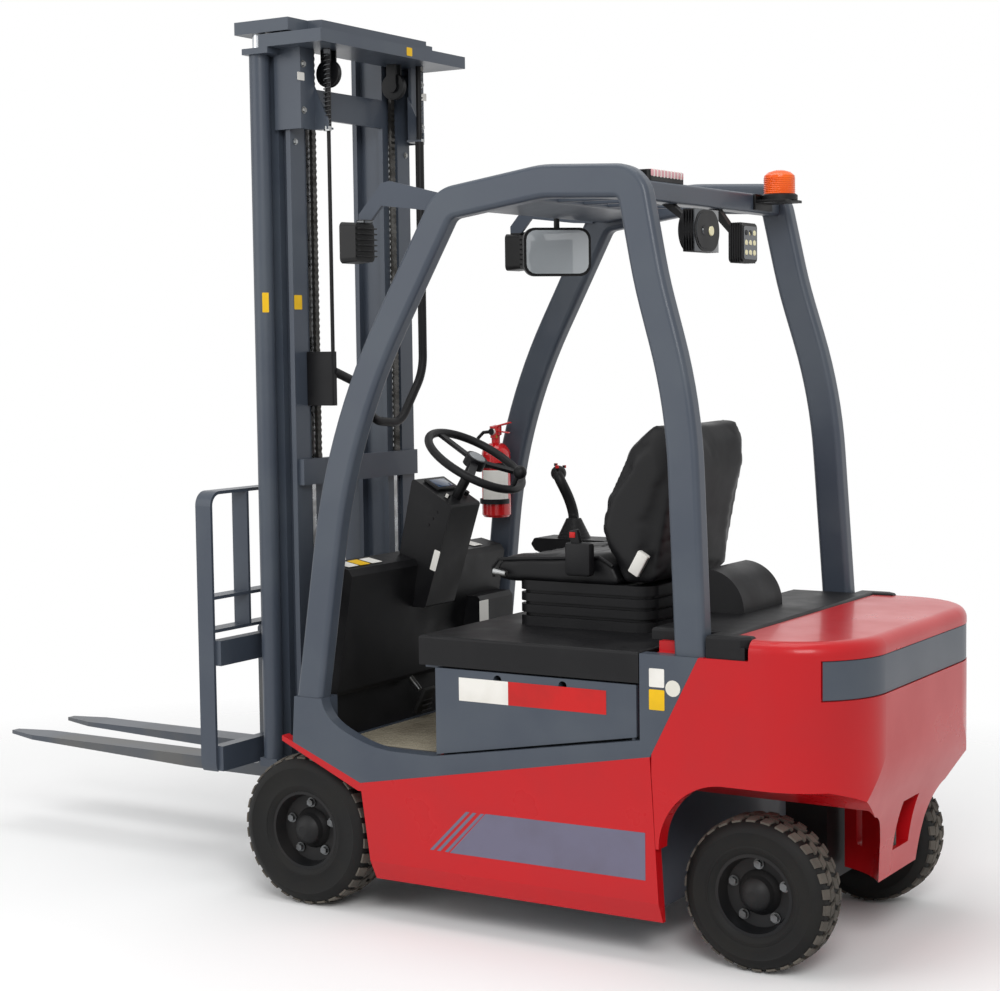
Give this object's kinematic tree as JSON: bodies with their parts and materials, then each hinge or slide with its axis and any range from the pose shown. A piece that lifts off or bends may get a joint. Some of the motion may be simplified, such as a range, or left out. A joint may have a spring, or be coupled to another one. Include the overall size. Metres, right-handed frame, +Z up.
{
  "type": "forklift truck",
  "caption": "Four-wheel electric counterbalance forklift with open cab, two-stage mast, fork carriage, load backrest and overhead guard.",
  "frame": {"origin": "on the floor under the middle of the truck, half way between the fork tips and the counterweight's tail", "axes": "+X forward towards the fork tips, +Y to the driver's left, +Z up"},
  "size_m": [3.325, 1.08, 2.66],
  "materials": {
    "frame_grey": "satin",
    "body_red": "gloss",
    "black_plastic": "matte",
    "black_steel": "satin",
    "tyre_rubber": "matte",
    "fork_steel": "satin",
    "chrome_rod": "polished",
    "chain_steel": "satin",
    "seat_vinyl": "matte",
    "battery_case": "matte",
    "beacon_amber": "gloss",
    "red_paint": "gloss",
    "lamp_black": "satin",
    "mirror_glass": "polished"
  },
  "bodies": {
    "truck": {"chassis": "frame_grey", "drive_axle": "black_steel", "steer_axle": "black_steel", "left_skirt": "body_red", "right_skirt": "body_red", "battery": "battery_case", "counterweight": "body_red", "tow_pin": "chain_steel", "guard_left_side": "frame_grey", "guard_right_side": "frame_grey", "guard_front_cross": "frame_grey", "guard_rear_cross": "frame_grey", "guard_roof_bars": "frame_grey", "tilt_root_brackets": "frame_grey", "dash_panel": "black_plastic", "steering_column": "black_plastic", "extinguisher": "red_paint", "rear_cover": "black_plastic", "left_work_lamp": "lamp_black", "right_work_lamp": "lamp_black", "rear_lamps": "lamp_black", "beacon": "beacon_amber", "mirror": "black_plastic"},
    "outer_mast_body": {"outer_mast": "frame_grey", "left_lift_barrel": "frame_grey", "right_lift_barrel": "frame_grey", "lift_chains": "chain_steel", "mast_hoses": "black_plastic", "hose_sheaves": "black_steel"},
    "inner_mast_body": {"inner_mast": "frame_grey", "left_lift_rod": "chrome_rod", "right_lift_rod": "chrome_rod"},
    "carriage_body": {"carriage": "frame_grey", "left_fork": "fork_steel", "right_fork": "fork_steel", "load_backrest": "frame_grey"},
    "left_tilt_barrel_body": {"left_tilt_barrel": "black_steel"},
    "right_tilt_barrel_body": {"right_tilt_barrel": "black_steel"},
    "left_tilt_rod_body": {"left_tilt_rod": "chrome_rod"},
    "right_tilt_rod_body": {"right_tilt_rod": "chrome_rod"},
    "front_left_wheel": {"front_left_tyre": "tyre_rubber", "front_left_rim": "black_steel"},
    "front_right_wheel": {"front_right_tyre": "tyre_rubber", "front_right_rim": "black_steel"},
    "left_knuckle_body": {"left_knuckle": "black_steel"},
    "right_knuckle_body": {"right_knuckle": "black_steel"},
    "rear_left_wheel": {"rear_left_tyre": "tyre_rubber", "rear_left_rim": "black_steel"},
    "rear_right_wheel": {"rear_right_tyre": "tyre_rubber", "rear_right_rim": "black_steel"},
    "steering_wheel_body": {"steering_wheel": "black_plastic"},
    "left_door_body": {"left_battery_door": "frame_grey"},
    "right_door_body": {"right_battery_door": "frame_grey"},
    "hood_body": {"seat_hood": "black_plastic", "seat_suspension": "black_plastic", "seat_cushion": "seat_vinyl", "seat_backrest": "seat_vinyl", "side_console": "black_plastic", "control_lever": "black_plastic"}
  },
  "joints": [
    {"name": "mast_tilt", "type": "hinge", "parent": "truck", "child": "outer_mast_body", "pos_m": [0.1925, 0, 0.2285], "axis": [0, -1, 0], "range_deg": [-4, 6]},
    {"name": "left_tilt_barrel_swing", "type": "hinge", "parent": "truck", "child": "left_tilt_barrel_body", "pos_m": [-0.3375, 0.2, 0.39], "axis": [0, -1, 0], "range_deg": [-0.2, 0.2]},
    {"name": "left_tilt_rod_slide", "type": "slide", "parent": "left_tilt_barrel_body", "child": "left_tilt_rod_body", "axis": [0.9978, 0, 0.0669], "range_m": [-0.03, 0.03]},
    {"name": "right_tilt_barrel_swing", "type": "hinge", "parent": "truck", "child": "right_tilt_barrel_body", "pos_m": [-0.3375, -0.2, 0.39], "axis": [0, -1, 0], "range_deg": [-0.2, 0.2]},
    {"name": "right_tilt_rod_slide", "type": "slide", "parent": "right_tilt_barrel_body", "child": "right_tilt_rod_body", "axis": [0.9978, 0, 0.0669], "range_m": [-0.03, 0.03]},
    {"name": "mast_lift", "type": "slide", "parent": "outer_mast_body", "child": "inner_mast_body", "axis": [0, 0, 1], "range_m": [0, 1.5]},
    {"name": "carriage_lift", "type": "slide", "parent": "inner_mast_body", "child": "carriage_body", "axis": [0, 0, 1], "range_m": [-0.27, 1.35]},
    {"name": "front_left_spin", "type": "hinge", "parent": "truck", "child": "front_left_wheel", "pos_m": [0.0925, 0.438, 0.2285], "axis": [0, 1, 0], "continuous": true},
    {"name": "front_right_spin", "type": "hinge", "parent": "truck", "child": "front_right_wheel", "pos_m": [0.0925, -0.438, 0.2285], "axis": [0, 1, 0], "continuous": true},
    {"name": "left_steer", "type": "hinge", "parent": "truck", "child": "left_knuckle_body", "pos_m": [-1.3525, 0.285, 0.21], "axis": [0, 0, 1], "range_deg": [-65, 65]},
    {"name": "right_steer", "type": "hinge", "parent": "truck", "child": "right_knuckle_body", "pos_m": [-1.3525, -0.285, 0.21], "axis": [0, 0, 1], "range_deg": [-65, 65]},
    {"name": "rear_left_spin", "type": "hinge", "parent": "left_knuckle_body", "child": "rear_left_wheel", "pos_m": [-1.3525, 0.395, 0.21], "axis": [0, 1, 0], "continuous": true},
    {"name": "rear_right_spin", "type": "hinge", "parent": "right_knuckle_body", "child": "rear_right_wheel", "pos_m": [-1.3525, -0.395, 0.21], "axis": [0, 1, 0], "continuous": true},
    {"name": "steering_wheel_turn", "type": "hinge", "parent": "truck", "child": "steering_wheel_body", "pos_m": [-0.1975, 0, 1.3], "axis": [-0.5299, 0, 0.848], "range_deg": [-780, 780]},
    {"name": "left_door_hinge", "type": "hinge", "parent": "truck", "child": "left_door_body", "pos_m": [-1.0365, 0.519, 0.65], "axis": [0, 0, 1], "range_deg": [0, 100]},
    {"name": "right_door_hinge", "type": "hinge", "parent": "truck", "child": "right_door_body", "pos_m": [-1.0365, -0.519, 0.65], "axis": [0, 0, -1], "range_deg": [0, 100]},
    {"name": "hood_hinge", "type": "hinge", "parent": "truck", "child": "hood_body", "pos_m": [-1.0745, 0, 0.846], "axis": [0, -1, 0], "range_deg": [0, 40]}
  ],
  "couplings": [
    {"joint": "left_tilt_rod_slide", "follows": "mast_tilt", "m_per_rad": -0.19659},
    {"joint": "right_tilt_rod_slide", "follows": "mast_tilt", "m_per_rad": -0.19659},
    {"joint": "left_tilt_barrel_swing", "follows": "mast_tilt", "ratio": 0.00987},
    {"joint": "right_tilt_barrel_swing", "follows": "mast_tilt", "ratio": 0.00987},
    {"joint": "right_steer", "follows": "left_steer", "ratio": 1},
    {"joint": "steering_wheel_turn", "follows": "left_steer", "ratio": -12}
  ]
}
